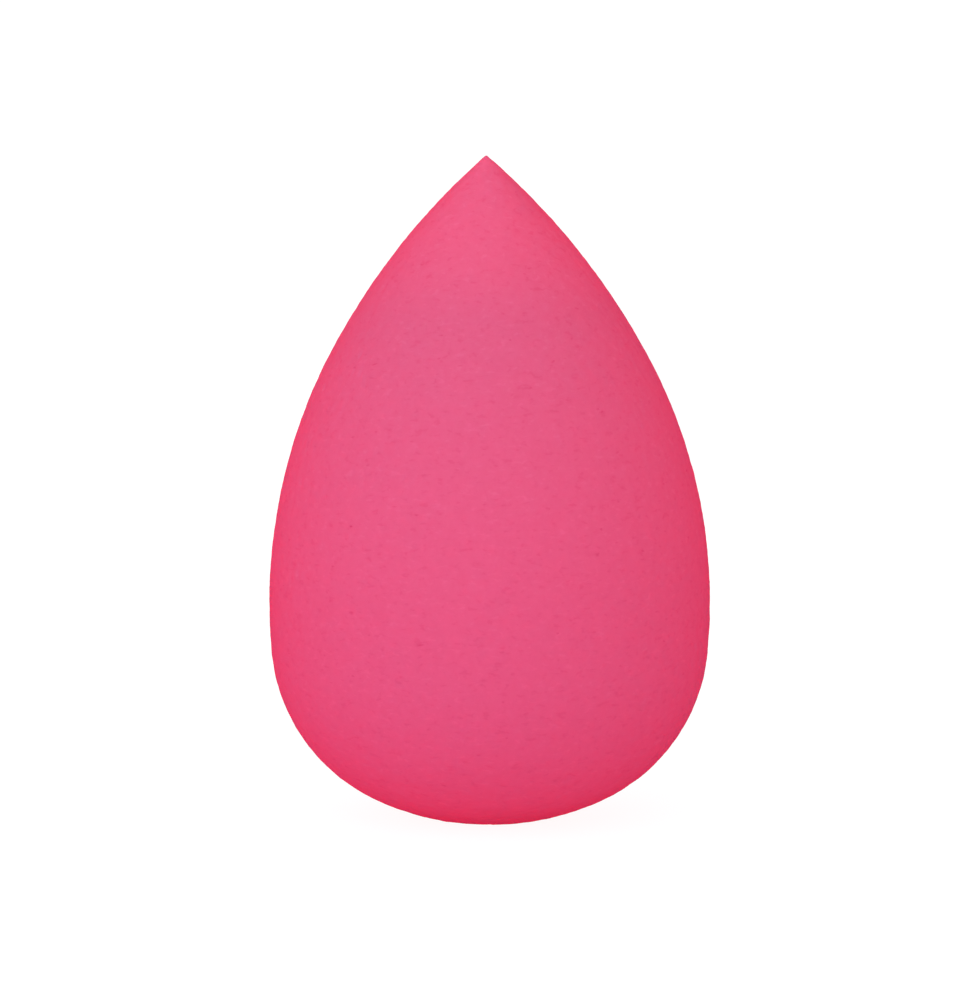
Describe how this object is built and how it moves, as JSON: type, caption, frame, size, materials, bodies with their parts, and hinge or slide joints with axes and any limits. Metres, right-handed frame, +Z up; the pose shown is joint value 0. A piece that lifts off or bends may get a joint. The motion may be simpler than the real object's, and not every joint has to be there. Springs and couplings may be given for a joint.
{
  "type": "makeup sponge",
  "caption": "Teardrop makeup sponge of soft pink foam, round and slightly flattened at its base and pointed at its top, for blending cosmetics into the skin.",
  "frame": {"origin": "centre of the flat of the foot, on the surface that the sponge stands on", "axes": "+Z up along the axis of the drop to its point; -Y towards the viewer of the picture; the body is round about Z"},
  "size_m": [0.04, 0.04, 0.0607],
  "materials": {
    "foam": "matt soft polyurethane foam, hot pink, with a fine skin of closed and open pores"
  },
  "bodies": {
    "root": {"foam_body": "foam"}
  },
  "joints": []
}
